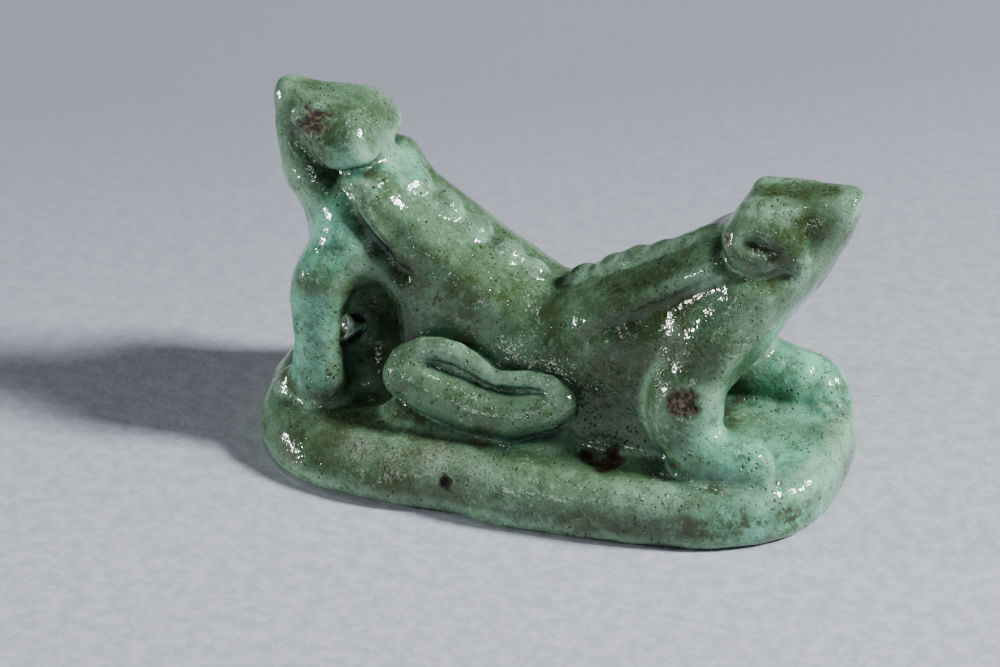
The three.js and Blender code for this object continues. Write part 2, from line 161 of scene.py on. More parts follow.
def ramp(value, start, end):
    """Zero before the start, one after the end, and smooth between."""
    t = np.clip((value - start) / (end - start), 0, 1)
    return t * t * (3 - 2 * t)


outside = egg((3.0, 0.0, 0.0), (0, 0, 0), (2, 2, 2))
print(f"one millimetre outside a ball of radius 2 its field reads {outside:.2f} mm")

# %% [markdown]
# ## The base
# The base is a thick oval tablet, pressed and then trimmed by hand, so it is not true: it is turned a
# little against the spine, pinched at its waist, and its rim is thin and worn at the near left.
# It could be a bevelled cylinder, but a field lets the lip, the dish and the worn rim flow together.

# %% The base
PLINTH_THICKNESS = 3.1
PLINTH_TOP_EDGE = 1.8
PLINTH_FOOT_EDGE = 0.8
PLINTH_SQUARENESS = 3
PLINTH_ASKEW = np.radians(2.6)
HALF_LENGTH, HALF_WIDTH = 14.8, 8.45

# Where the near side differs from a true oval: how much, where along x, and over what width.
WAIST = (0.35, -3.3, 1.8)
BELLY = (0.3, -9.5, 3.5)
WORN_RIM = (0.8, -9.5, 5.0)
WORN_RIM_FROM, WORN_RIM_RISE = 0.8, 2.0
SUNKEN_TOP = (0.2, -10.5, 4.0)
NEAR_SIDE = (0.5, 4.0)
LIP_HEIGHT, LIP_WIDTH, LIP_STARTS = 0.3, 0.1, (1.0, 8.0)


def bump_at(value, bump):
    height, centre, width = bump
    return height * swell(value, centre, width)


def plinth(p):
    c, s = np.cos(PLINTH_ASKEW), np.sin(PLINTH_ASKEW)
    x, y, z = p[0] * c + p[1] * s, -p[0] * s + p[1] * c, p[2]
    a, b = HALF_LENGTH, HALF_WIDTH
    n = PLINTH_SQUARENESS
    share = np.maximum((np.abs(x) / a) ** n + (np.abs(y) / b) ** n, 1e-9) ** (1 / n)
    slope = np.sqrt(((np.abs(x) / a) ** (n - 1) / a) ** 2 + ((np.abs(y) / b) ** (n - 1) / b) ** 2)
    beside = (share - 1) / np.maximum(slope / np.maximum(share, 1e-6) ** (n - 1), 1e-3)
    near = ramp(-y, *NEAR_SIDE)
    beside = beside + bump_at(x, WAIST) * near
    beside = beside - bump_at(x, BELLY) * near
    worn_edge = bump_at(x, WORN_RIM) * near
    beside = beside + worn_edge * np.clip((z - WORN_RIM_FROM) / WORN_RIM_RISE, 0, 1)
    lip = LIP_HEIGHT * swell(share, 1.0, LIP_WIDTH) * ramp(x, *LIP_STARTS)
    top = PLINTH_THICKNESS + lip - bump_at(x, SUNKEN_TOP)
    return pare(pare(beside, z - top, PLINTH_TOP_EDGE), -z, PLINTH_FOOT_EDGE)


print(f"the base is {2 * HALF_LENGTH:.1f} by {2 * HALF_WIDTH:.1f} mm and {PLINTH_THICKNESS} mm thick")

# %% [markdown]
# ## The two frogs
# Both frogs are the same kind of body: a round-backed trunk that climbs from the valley in the middle
# to the neck, a chest trimmed flat from the chin to the feet, a wedge of a head with a raised eye, and
# a foreleg. They differ in pose: the raised frog looks up and stands on straight forelegs, the level
# one looks ahead and rests on its elbows. So each is one set of named places for the same functions.

# %% Where the raised frog's forms lie
BACK_RADIUS = 1.95
BACK_FLAT = 1.0
SOFT = 1.6

# The knobs on the spine are pairs of a place along u and a size.
raised = Frog(
    rump=(0, 0, 6.4), neck=(8.4, 0, 11.8), chest=(7.3, 0, 8.4), chest_radius=3.2,
    breast=((10.9, 0, 12.8), (8.9, 0, 4.4)), breast_radii=(2.5, 3.0),
    throat=(15.05, 0, 15.2), throat_out=(1, 0, -0.39), throat_edge=0.9,
    crown=(12.5, 0, 17.9), crown_out=(-0.2, 0, 1), temple=(12.5, 1.2, 17.9), temple_out=(0, 1, 0.42),
    snout=14.8, muzzle=(14.8, 0.95, 0), muzzle_out=(0.40, 1, 0),
    nape=(9.05, 0, 16.2), nape_out=(-1, 0, 0.3), neck_melt=1.5,
    jaw=(12.5, 0, 13.3), eye=(9.9, 1.3, 15.95), eye_radii=(2.2, 1.05, 1.1), eye_melt=1.8,
    brow=(12.2, 1.5, 16.6), brow_radii=(1.0, 0.6, 0.8),
    arm=((9.4, 1.6, 13.6), (10.2, 2.5, 11.2), (11.0, 3.1, 9.0)), arm_radii=(1.0, 1.2, 1.45),
    elbow=None, elbow_radii=None,
    leg=((11.0, 3.1, 9.0), (11.2, 3.4, 8.0), (11.1, 3.4, 6.0), (11.1, 3.6, 3.4)),
    leg_radii=(1.5, 1.5, 1.4, 1.55),
    foot=((10.9, 3.6, 3.3), (12.6, 3.4, 3.0)), foot_radii=(1.3, 0.9),
    haunch=((0.5, 0, 2.8), (5.0, 0, 3.4)),
    knobs=((1.2, 0.7), (2.5, 0.95), (4.2, 1.0), (5.9, 1.1), (7.6, 1.15)), pupil=None,
)

# %% Where the level frog's forms lie
level = Frog(
    rump=(0, 0, 6.7), neck=(8.4, 0, 11.55), chest=(7.4, 0, 8.0), chest_radius=3.5,
    breast=((11.0, 0, 12.3), (9.0, 0, 4.4)), breast_radii=(3.1, 3.0),
    throat=(14.35, 0, 13.8), throat_out=(0.85, 0.22, -0.50), throat_edge=0.5,
    crown=(11.5, 0, 16.55), crown_out=(-0.19, 0, 1), temple=(11.5, 1.5, 16.5), temple_out=(0, 1, 0.5),
    snout=15.45, muzzle=(16.4, 1.0, 0), muzzle_out=(0.42, 1, 0),
    nape=(8.8, 0, 15.0), nape_out=(-1, 0, 0.25), neck_melt=0.7,
    jaw=(11.5, 0, 11.9), eye=(10.8, 2.1, 14.4), eye_radii=(2.2, 0.9, 1.45), eye_melt=1.0,
    brow=None, brow_radii=None,
    arm=((10.2, 1.9, 12.2), (9.4, 2.7, 9.6), (8.5, 3.3, 7.2)), arm_radii=(1.5, 1.9, 1.8),
    elbow=(8.1, 4.05, 5.9), elbow_radii=(1.6, 1.45, 1.5),
    leg=((7.8, 3.7, 6.4), (7.9, 4.2, 5.2), (8.6, 4.4, 4.3)), leg_radii=(1.4, 1.45, 1.3),
    foot=((8.9, 4.5, 3.8), (11.4, 4.3, 3.7)), foot_radii=(1.5, 1.35),
    haunch=((1.5, 0, 2.8), (7.0, 0, 3.2)),
    knobs=((1.3, 0.9), (2.9, 1.0), (4.2, 1.1), (5.4, 1.0), (6.5, 0.85), (7.4, 0.8)),
    pupil=(10.95, 3.05, 14.85),
)
print(f"{len(raised.knobs)} knobs on the raised frog's spine and {len(level.knobs)} on the level one's")


# %% Trunk and head
LOIN, LOIN_RADIUS = (0.5, 0, 4.9), 3.9
JAW_OUT = (-0.6, 0, -1)


def trunk(q, frog):
    flat_backed = (q[0], np.maximum(q[1] - BACK_FLAT, 0), q[2])
    back = limb(flat_backed, frog.rump, frog.neck, BACK_RADIUS, BACK_RADIUS)
    flank = limb(q, LOIN, frog.chest, LOIN_RADIUS, frog.chest_radius)
    return melt(back, flank, SOFT)


def head(q, frog):
    """A wedge between flat cuts, each a point on it, the way it faces and how rounded its edge is."""
    cut = facet(q, frog.crown, frog.crown_out)
    for point, out, edge in (
        (frog.throat, frog.throat_out, 0.7),
        (frog.muzzle, frog.muzzle_out, 1.2),
        ((frog.snout, 0, 0), (1, 0, 0), 1.0),
        (frog.nape, frog.nape_out, 1.2),
        (frog.jaw, JAW_OUT, 1.3),
        (frog.temple, frog.temple_out, 0.9),
    ):
        cut = pare(cut, facet(q, point, out), edge)
    return cut


# %% The spine's row of knobs
KNOB_RADII = np.array((0.8, 0.8, 0.5))
KNOB_RISE, KNOB_TILT, KNOB_MELT = 0.05, 25, 0.5
BACK_SEARCH = (6, 16, 801)


def back_height(frog, u):
    """Where the back's ridge lies over a place along the spine."""
    z = np.linspace(*BACK_SEARCH, dtype=np.float32)
    inside = trunk((np.full_like(z, u), np.zeros_like(z), z), frog)
    return float(z[np.argmax(inside > 0)])


def spine(q, frog, form):
    for u, size in frog.knobs:
        centre = (u, 0, back_height(frog, u) + KNOB_RISE)
        form = melt(form, egg(q, centre, KNOB_RADII * size, KNOB_TILT), KNOB_MELT)
    return form


print(f"the raised back is {back_height(raised, 4):.1f} mm high at u = 4 mm")

# %% A whole frog
PUPIL_RADII, PUPIL_TILT, PUPIL_EDGE = (0.85, 0.55, 0.4), -15, 0.4
HAUNCH_RADII = (4.5, 4.3)
NAPE_EDGE = 1.0
BROW_MELT, ELBOW_MELT, LEG_MELT, FOOT_MELT = 0.4, 1.2, 1.0, 0.5


def frog_form(p, side, frog):
    """side is +1 for the frog that faces +X and -1 for the other."""
    q = (side * p[0], np.abs(p[1]), p[2])
    form = trunk(q, frog)
    form = melt(form, limb(q, *frog.haunch, *HAUNCH_RADII), SOFT)
    form = melt(form, limb(q, *frog.breast, *frog.breast_radii), SOFT)
    form = melt(form, limbs(q, frog.arm, frog.arm_radii), SOFT)
    form = pare(form, facet(q, frog.throat, frog.throat_out), frog.throat_edge)
    wedge = melt(head(q, frog), egg(q, frog.eye, frog.eye_radii), frog.eye_melt)
    wedge = pare(wedge, facet(q, frog.nape, frog.nape_out), NAPE_EDGE)
    if frog.pupil:
        wedge = pare(wedge, -egg(q, frog.pupil, PUPIL_RADII, PUPIL_TILT), PUPIL_EDGE)
    form = melt(form, wedge, frog.neck_melt)
    if frog.brow:
        form = melt(form, egg(q, frog.brow, frog.brow_radii), BROW_MELT)
    if frog.elbow:
        form = melt(form, egg(q, frog.elbow, frog.elbow_radii), ELBOW_MELT)
    form = melt(form, limbs(q, frog.leg, frog.leg_radii), LEG_MELT)
    form = melt(form, limbs(q, frog.foot, frog.foot_radii), FOOT_MELT)
    return spine(q, frog, form)


# %% [markdown]
# ## The folded hind legs
# The hind legs of both frogs share one loop on each flank: a rolled shin below, and two short rolls
# above that leave a groove between them. Rolls of clay laid side by side are just limbs that meet
# with almost no melting, so the glaze can pool in a clear groove, as in the photograph.

# %% The hind legs
SHIN = ((-6.1, 4.5, 5.4), (-4.3, 4.75, 4.85), (-2.2, 4.9, 4.4), (-0.6, 4.95, 4.35), (1.0, 4.8, 4.9),
        (1.8, 4.6, 5.3))
SHIN_RADII = (1.3, 1.35, 1.25, 1.15, 1.0, 0.8)
THIGH = ((-6.1, 4.4, 6.1), (-5.4, 4.4, 6.85), (-4.6, 4.4, 7.1), (-3.7, 4.4, 7.0), (-2.8, 4.4, 6.6),
         (-2.1, 4.45, 6.2), (-1.5, 4.5, 6.0))
THIGH_RADII = (0.95, 0.68, 0.58, 0.56, 0.53, 0.48, 0.42)
CALF = ((-1.4, 4.5, 6.1), (0.2, 4.5, 6.35), (1.2, 4.5, 6.3), (1.9, 4.6, 5.6))
CALF_RADII = (0.4, 0.4, 0.42, 0.65)
ROLL_MELT = 0.15


def hind_legs(q):
    rolls = melt(limbs(q, SHIN, SHIN_RADII), limbs(q, THIGH, THIGH_RADII), ROLL_MELT)
    return melt(rolls, limbs(q, CALF, CALF_RADII), ROLL_MELT)


print(f"the loop of the hind legs runs from x = {SHIN[0][0]} to {CALF[-1][0]} mm")

# %% [markdown]
# ## Grooves and ridges
# The carving is shallow: a tool drawn along the wet paste leaves a groove and pushes up a soft ridge.
# Each stroke is a short run of points on a frog's side, with a width and a depth. The field is raised
# along it by a smooth hump, which is the cheapest way to engrave and never leaves a seam.

# %% The strokes
# Each stroke is its points as u and z, its width and its depth. One with a depth below zero is a ridge.
raised.strokes = (
    (((10.0, 13.6), (8.4, 11.4), (6.9, 10.1)), 0.5, 0.4),  # behind the shoulder
    (((9.0, 13.3), (7.1, 10.7)), 0.4, -0.22),  # the ridge beside that groove
    (((13.0, 15.6), (12.2, 14.7), (11.0, 13.9)), 0.65, 0.75),  # under the jaw
    (((11.0, 14.3), (9.8, 14.9), (8.4, 15.1)), 0.38, 0.4),  # between cheek and neck
    (((8.6, 14.0), (6.2, 12.0), (3.3, 10.0), (1.3, 8.8)), 0.55, -0.18),  # the edge of the back
)
level.strokes = (
    (((9.0, 12.5), (7.2, 11.2), (4.4, 9.2)), 0.65, 0.3),  # behind the shoulder
    (((8.7, 13.3), (5.5, 11.2), (2.6, 9.3)), 0.55, -0.3),  # the edge of the back
    (((8.9, 13.9), (9.8, 13.3), (11.1, 13.1), (12.2, 13.5)), 0.5, 0.42),  # under the eye
    (((4.6, 9.2), (3.2, 8.2)), 0.45, -0.2),  # a fold of the flank
    (((9.3, 16.2), (10.8, 16.5), (12.4, 16.4)), 0.4, -0.15),  # the brow
)
FLANK_STARTS, FLANK_STEEPNESS = 0.9, 6
FAR_AWAY = 1e6


def carve(form, p, side, frog):
    u, on_flank = side * p[0], 1 / (1 + np.exp(-(np.abs(p[1]) - FLANK_STARTS) * FLANK_STEEPNESS))
    for points, width, depth in frog.strokes:
        nearest = np.full_like(form, FAR_AWAY)
        for start, end in zip(points[:-1], points[1:]):
            way = np.subtract(end, start)
            t = np.clip(((u - start[0]) * way[0] + (p[2] - start[1]) * way[1]) / (way @ way), 0, 1)
            gap = (u - start[0] - way[0] * t) ** 2 + (p[2] - start[1] - way[1] * t) ** 2
            nearest = np.minimum(nearest, gap)
        form = form + depth * np.exp(-nearest / width ** 2) * on_flank
    return form


print(f"{len(raised.strokes)} strokes on the raised frog and {len(level.strokes)} on the level one")

# %% [markdown]
# ## Hollows, the threading hole and the toes
# The maker pushed hollows in behind the forelegs and under the chest, and pierced the raised frog
# across, behind its legs, so that the amulet could hang on a cord. Toes are scratched into the base.

# %% Hollows and the threading hole
ARMPIT = ((8.5, 4.9, 9.8), (8.7, 3.2, 7.6), (8.7, 2.9, 5.2), (8.6, 3.3, 4.0))
ARMPIT_RADII, ARMPIT_EDGE = (0.6, 1.2, 1.35, 1.2), 0.9
TUNNEL = ((9.6, 2.9, 6.3), (10.6, 1.8, 5.8), (12.7, 0, 4.7))
TUNNEL_RADII, TUNNEL_EDGE = (0.85, 0.65, 0.75), 0.4
UNDER_CHEST = ((12.5, 0, 6.0), (9.8, 0, 5.0))
UNDER_CHEST_RADII, UNDER_CHEST_EDGE = (1.6, 1.2), 0.6
HOLE_U, HOLE_Z, HOLE_RADIUS, HOLE_EDGE = 10.09, 6.1, 0.55, 0.25
HOLE_REACH = 2.6


def hollow(form, p):
    """The raised frog faces -X, so its u is -x. The hollow under the chest is the level frog's."""
    u, v = -p[0], np.abs(p[1])
    q = (u, v, p[2])
    form = pare(form, -limbs(q, ARMPIT, ARMPIT_RADII), ARMPIT_EDGE)
    form = pare(form, -limbs(q, TUNNEL, TUNNEL_RADII), TUNNEL_EDGE)
    form = pare(form, -limb((p[0], v, p[2]), *UNDER_CHEST, *UNDER_CHEST_RADII), UNDER_CHEST_EDGE)
    hole = np.sqrt((u - HOLE_U) ** 2 + (p[2] - HOLE_Z) ** 2) - HOLE_RADIUS
    return pare(form, -np.maximum(hole, v - HOLE_REACH), HOLE_EDGE)


print(f"the threading hole is {2 * HOLE_RADIUS} mm wide")

# %% The toes on the base
TOES = 4
TOE_ROOT, TOE_ROOT_REACH, TOE_LENGTH = np.array((11.0, 3.6)), 1.3, 1.5
FIRST_TOE_TURN, TOE_TURN = -36, 21
TOE_WIDTH, TOE_DEPTH = 0.36, 0.11
BASE_TOP_FROM, BASE_TOP_TO = 2.4, 3.0


def toes(form, p):
    """Shallow grooves that fan out over the base from each front foot of the level frog."""
    v = np.abs(p[1])
    for toe in range(TOES):
        turn = np.radians(FIRST_TOE_TURN + TOE_TURN * toe)
        out = np.array((np.cos(turn), np.sin(turn)))
        start, way = TOE_ROOT + TOE_ROOT_REACH * out, TOE_LENGTH * out
        t = np.clip(((p[0] - start[0]) * way[0] + (v - start[1]) * way[1]) / (way @ way), 0, 1)
        gap = (p[0] - start[0] - way[0] * t) ** 2 + (v - start[1] - way[1] * t) ** 2
        form = form + TOE_DEPTH * np.exp(-gap / TOE_WIDTH ** 2) * ramp(p[2], BASE_TOP_FROM, BASE_TOP_TO)
    return form


# %% The figure on its base
# Clay under the hind legs, clay in the fold between their rolls, and the lump at the far front foot.
FOOTING, FOOTING_RADII, FOOTING_MELT = ((-6.0, 4.3, 2.7), (1.2, 4.6, 2.5)), (1.4, 1.2), 0.9
FOLD, FOLD_RADII = ((-4.9, 4.1, 6.3), (-2.2, 4.25, 5.7), (1.3, 4.15, 5.9)), (0.7, 0.5, 0.5)
FAR_FOOT, FAR_FOOT_RADII, FAR_FOOT_MELT = ((9.2, 4.6, 3.4), (12.4, 4.4, 3.0)), (1.8, 1.5), 1.2
RUMP_MELT, LOOP_MELT, BASE_MELT = 0.5, 0.2, 0.6


def figure(p):
    q = (p[0], np.abs(p[1]), p[2])
    left = carve(frog_form(p, -1, raised), p, -1, raised)
    right = carve(frog_form(p, 1, level), p, 1, level)
    form = melt(left, right, RUMP_MELT)
    form = melt(form, limb(q, *FOOTING, *FOOTING_RADII), FOOTING_MELT)
    form = np.minimum(form, limbs(q, FOLD, FOLD_RADII))
    form = melt(form, limb(p, *FAR_FOOT, *FAR_FOOT_RADII), FAR_FOOT_MELT)
    form = melt(form, hind_legs(q), LOOP_MELT)
    form = hollow(form, p)
    form = melt(form, plinth(p), BASE_MELT)
    return toes(form, p)


# %% [markdown]
# ## Hand, kiln and time
# Nothing on the real piece is smooth for more than a few millimetres: fingers left low lumps, the
# paste shrank, the glaze crawled off small spots, and later wear broke it open. Lumps come from a
# seeded lattice of random heights, blended between its points, which is what a noise texture is.

# %% Lumps, pits and worn spots
LATTICE = 64


def lumps(p, size, seed):
    """Smooth random heights from -1 to 1, with one value every size millimetres."""
    table = np.random.default_rng(seed).uniform(-1, 1, (LATTICE,) * 3).astype(np.float32)
    cells, shares = [], []
    for axis in range(3):
        place = p[axis] / size + LATTICE // 2
        cell = np.floor(place).astype(np.int32)
        share = (place - cell).astype(np.float32)
        cells.append(cell)
        shares.append(share * share * (3 - 2 * share))
    total = 0
    for corner in range(8):
        steps = [(corner >> axis) & 1 for axis in range(3)]
        weight = 1
        for share, step in zip(shares, steps):
            weight = weight * (share if step else 1 - share)
        total = total + weight * table[tuple((c + s) % LATTICE for c, s in zip(cells, steps))]
    return total


# Each spot is its centre, its radius and its depth. The paste is pale brown in some and rusty in others.
WORN_SPOTS = (
    ((-12.06, -1.4, 16.75), 1.05, 0.16),
    ((8.3, -5.3, 7.1), 0.8, 0.14),
    ((-2.0, -1.2, 7.9), 0.75, 0.16),
    ((9.3, -2.7, 14.9), 0.3, 0.08),
    ((10.9, -3.2, 3.4), 0.5, 0.10),
)
RUSTY_SPOTS = (
    ((4.8, -5.0, 3.1), 0.7, 0.16),
    ((4.5, -5.9, 3.1), 0.8, 0.10),
    ((3.4, -5.4, 3.1), 0.5, 0.08),
    ((-2.9, -8.0, 1.9), 0.42, 0.14),
)
RAGGEDNESS = ((0.45, 0.45, 11), (0.25, 0.2, 12))
WORN_FADE = (-1.15, -0.75)


def worn(p, spots):
    """How far gone the glaze is here: one inside a worn spot, zero on sound glaze."""
    wander = sum(height * lumps(p, size, seed) for height, size, seed in RAGGEDNESS)
    most = np.zeros_like(p[0])
    for centre, radius, _ in spots:
        away = np.sqrt(sum((p[i] - centre[i]) ** 2 for i in range(3))) / radius
        most = np.maximum(most, ramp(-away - wander, *WORN_FADE))
    return most


# The height in millimetres, the size and the seed of each layer of lumps.
UNEVENNESS = ((0.07, 2.6, 1), (0.035, 1.1, 2), (0.018, 0.5, 3))


def weathered(p):
    form = figure(p)
    for height, size, seed in UNEVENNESS:
        form = form + height * lumps(p, size, seed)
    return form


print(f"the surface is uneven by up to {sum(height for height, _, _ in UNEVENNESS):.2f} mm either way")

# %% [markdown]
# ## From field to mesh
# Blender shows meshes, so the field is sampled on a grid and a vertex is put in each cell that the
# surface crosses. That is the method called surface nets, and its quads are even, which suits a
# smooth glaze. Only the grid near the surface is worked out, and each vertex is then slid along the
# slope of the field onto the surface itself.

# %% Sampling the field near the surface
GRID_STEP = 0.175
COARSE = 4
NEAR = 1.1
BOX_LOW, BOX_HIGH = np.array((-16.2, -9.4, -0.7)), np.array((17.0, 9.4, 19.2))


def sampled(form):
    counts = (np.ceil((BOX_HIGH - BOX_LOW) / GRID_STEP / COARSE).astype(int)) * COARSE + 1
    axes = [(BOX_LOW[i] + GRID_STEP * np.arange(counts[i])).astype(np.float32) for i in range(3)]
    rough = form(np.meshgrid(*(a[::COARSE] for a in axes), indexing="ij"))
    nearest = [np.minimum((np.arange(n) + COARSE // 2) // COARSE, rough.shape[i] - 1)
               for i, n in enumerate(counts)]
    values = rough[np.ix_(*nearest)]
    band = np.argwhere(np.abs(values) < NEAR)
    points = [axes[i][band[:, i]] for i in range(3)]
    values[tuple(band.T)] = form(points)
    return values


# %% Surface nets
def surface_nets(values):
    shape = values.shape
    inside = values < 0
    corners = [(i, j, k) for i in (0, 1) for j in (0, 1) for k in (0, 1)]

    def shifted(corner):
        return tuple(slice(s, n - 1 + s) for s, n in zip(corner, shape))

    filled = sum(inside[shifted(c)].astype(np.int8) for c in corners)
    active = (filled > 0) & (filled < 8)
    cells = np.argwhere(active)
    number = np.full(active.shape, -1)
    number[active] = np.arange(len(cells))
    total, hits = np.zeros((len(cells), 3)), np.zeros(len(cells))
    for corner in corners:
        for axis in range(3):
            if corner[axis]:
                continue
            other = list(corner)
            other[axis] = 1
            a = values[tuple((cells + corner).T)]
            b = values[tuple((cells + other).T)]
            crossed = (a < 0) != (b < 0)
            point = np.tile(np.array(corner, float), (len(cells), 1))
            point[:, axis] += np.where(crossed, a / np.where(crossed, a - b, 1), 0)
            total[crossed] += point[crossed]
            hits[crossed] += 1
    vertices = BOX_LOW + GRID_STEP * (cells + total / hits[:, None])
    return vertices, net_quads(inside, number)


def net_quads(inside, number):
    """One quad for each grid edge that the surface crosses, wound so that it faces out."""
    quads = []
    for axis in range(3):
        across, along = (axis + 1) % 3, (axis + 2) % 3
        here, there = [slice(1, -1)] * 3, [slice(1, -1)] * 3
        here[axis], there[axis] = slice(0, -1), slice(1, None)
        a, b = inside[tuple(here)], inside[tuple(there)]
        for flip, crossed in ((False, a & ~b), (True, ~a & b)):
            edges = np.argwhere(crossed)
            edges[:, across] += 1
            edges[:, along] += 1
            ring = []
            for back_across, back_along in ((1, 1), (0, 1), (0, 0), (1, 0)):
                cell = edges.copy()
                cell[:, across] -= back_across
                cell[:, along] -= back_along
                ring.append(number[tuple(cell.T)])
            quad = np.stack(ring, 1)
            quads.append(quad[:, ::-1] if flip else quad)
    return np.concatenate(quads)


# %% Sliding the vertices onto the surface
def slope(form, points, reach=0.06):
    """How fast the field rises along x, y and z at each point."""
    rise = np.empty_like(points)
    for axis in range(3):
        ahead, behind = points.copy(), points.copy()
        ahead[:, axis] += reach
        behind[:, axis] -= reach
        rise[:, axis] = (form(ahead.T) - form(behind.T)) / (2 * reach)
    return rise


LEAST_STEEPNESS = 0.2
LONGEST_SLIDE = 0.6 * GRID_STEP


def settled(form, points):
    rise = slope(form, points)
    steep = np.maximum((rise ** 2).sum(1), LEAST_STEEPNESS)
    move = -form(points.T)[:, None] * rise / steep[:, None]
    size = np.maximum(np.linalg.norm(move, axis=1, keepdims=True), 1e-9)
    return points + move * np.minimum(1, LONGEST_SLIDE / size)


vertices, quads = surface_nets(sampled(weathered))
vertices = settled(weathered, vertices)
print(f"the net has {len(vertices)} vertices and {2 * len(quads)} triangles")

# %% [markdown]
# ## What the glaze sees
# A glaze runs off ridges, where it fires thin and pale, and pools in hollows, where it is deep and
# blue-green. The field tells both: a step outward from a hollow comes close to other clay, and a step
# inward from a ridge soon comes out on the other side. Both are kept on the mesh as numbers, and so are
# the places, worked out from the photograph, where the glaze is fresh, stained or scuffed, and where
# painted light, painted highlights and painted shade are put into its colour.

# %% Pooling, ridges and worn spots as numbers on the mesh
NORMAL_REACH = 0.12
TIGHT_HOLLOW, WIDE_HOLLOW = 0.45, 1.6
THIN_RIDGE, BROAD_RIDGE = 0.5, 1.2

rise = slope(figure, vertices, NORMAL_REACH)
normal = rise / np.maximum(np.linalg.norm(rise, axis=1, keepdims=True), 1e-6)


def openness(reach):
    """One in the open or on a ridge, towards zero in a tight hollow."""
    return np.clip(figure((vertices + normal * reach).T) / reach, 0, 1.2)


def sharpness(reach):
    """Zero on a flat or hollow surface, towards one on a thin ridge."""
    return np.clip(1 + figure((vertices - normal * reach).T) / reach, 0, 1)


pool = np.clip(1 - openness(TIGHT_HOLLOW), 0, 1) * 0.7 + np.clip(1 - openness(WIDE_HOLLOW), 0, 1) * 0.6
ridge = sharpness(THIN_RIDGE) + 0.5 * sharpness(BROAD_RIDGE)
bare, rusty = worn(vertices.T, WORN_SPOTS), worn(vertices.T, RUSTY_SPOTS)
print(f"{int((pool > 0.5).sum())} vertices lie in pools of glaze and {int((ridge > 0.5).sum())} on ridges")

# %% Where the glaze stayed fresh and where burial stained it, with painted light and painted shade
# Each place is its centre and its size.
FRESH_AND_LIT_PLACES = (
    ((12.5, -4.0, 3.0), 4.2), ((10.8, -4.8, 4.2), 2.6),  # the level frog's near foot
    ((12.5, 4.5, 3.2), 3.5), ((12.0, -0.5, 9.5), 1.8),  # its far foot and its chest
    # Partly painted light: the leg is made paler where light falls on it, and the shoulder holds a painted
    # highlight.
    ((-11.4, -4.2, 7.5), 1.8), ((-11.6, -4.6, 5.0), 1.7),  # the raised frog's leg
    ((-11.2, -3.0, 11.4), 2.2),  # its shoulder
    ((-8.3, 0.0, 14.2), 1.5), ((-9.9, -2.6, 15.4), 1.0),  # its nape and cheek
)
STAIN_AND_SHADE_PLACES = (
    ((5.5, -2.8, 9.6), 3.6), ((3.6, -3.6, 7.0), 2.8),  # the level frog's back and flank
    ((12.0, -1.8, 16.6), 3.2), ((11.0, -3.0, 14.4), 2.2),  # its head
    ((-8.6, -3.4, 7.2), 2.4), ((-6.4, -3.4, 9.9), 1.6), ((-4.0, -2.6, 9.4), 2.2),  # the raised frog's flank
    ((-14.3, -0.8, 16.2), 1.3),  # its mouth
    # Painted shade: these places darken the near side and the ends of the base.
    ((-13.2, -3.0, 2.0), 3.0), ((-9.5, -6.5, 2.9), 3.4), ((-5.0, -8.2, 1.4), 3.0),  # along the base
    ((0.5, -8.2, 2.0), 2.4), ((4.0, -8.3, 1.4), 3.0), ((5.5, -8.2, 1.0), 2.6), ((9.5, -8.0, 1.2), 4.0),
    ((11.5, -6.8, 1.0), 2.2), ((13.4, -4.6, 0.8), 2.4),
)
# Painted shade: near black-brown put in the raised frog's armpit hollow and the groove behind its shoulder,
# behind the level foot, and in the level eye.
PAINTED_SHADE_PLACES = (
    ((-8.6, -2.6, 6.2), 1.5), ((-8.4, -3.2, 4.6), 1.5), ((-8.9, -3.4, 8.8), 0.9),  # the raised armpit
    ((-9.0, -2.7, 12.2), 0.7), ((-8.0, -3.0, 11.2), 0.7), ((-7.1, -3.2, 10.3), 0.7),  # its groove
    ((10.6, -2.4, 4.4), 0.9), ((11.6, -3.0, 14.5), 0.8),  # behind the level foot, and the level eye
)
# Partly painted highlight: the scuffed rim is also made pale grey where highlights fall on it.
SCUFF_AND_SHEEN_PLACES = (
    ((-7.6, -7.8, 2.8), 1.1), ((-5.6, -8.0, 2.8), 1.0), ((-3.6, -7.7, 2.8), 1.1), ((-1.6, -7.9, 2.7), 0.9),
)


def near_places(points, places):
    """One close to any of the places, fading out over each one's size."""
    most = np.zeros(len(points))
    for centre, size in places:
        most = np.maximum(most, np.exp(-((points - centre) ** 2).sum(1) / size ** 2))
    return most


# The fresh places also paint light on the raised frog's leg and a highlight on its shoulder; the stained
# places also paint shade on the near side of the base; the shade places paint shade in hollows, a groove
# and the level eye; the scuffed places also paint a highlight on the near rim.
fresh_and_lit = near_places(vertices, FRESH_AND_LIT_PLACES)
stain_and_shade = near_places(vertices, STAIN_AND_SHADE_PLACES)
painted_shade = near_places(vertices, PAINTED_SHADE_PLACES)
scuff_and_sheen = near_places(vertices, SCUFF_AND_SHEEN_PLACES)

# %% Pits where the glaze is gone
PIT_SIZE, PIT_SEED = 0.33, 21
SPOT_FADE = (-1.2, -0.6)
SHALLOWEST, PIT_CONTRAST = 0.35, 1.3

pits = 0.5 + 0.5 * lumps(vertices.T, PIT_SIZE, PIT_SEED)
spot_depth = np.zeros(len(vertices))
for centre, radius, depth in WORN_SPOTS + RUSTY_SPOTS:
    away = np.linalg.norm(vertices - centre, axis=1) / radius
    spot_depth = np.maximum(spot_depth, depth * ramp(-away, *SPOT_FADE))
sunk = np.maximum(bare, rusty) * spot_depth * (SHALLOWEST + PIT_CONTRAST * pits)
vertices = vertices - normal * sunk[:, None]
vertices[:, 2] = np.maximum(vertices[:, 2], 0)
print(f"{int((bare > 0.5).sum())} vertices lie in worn spots, up to {sunk.max():.2f} mm deep")


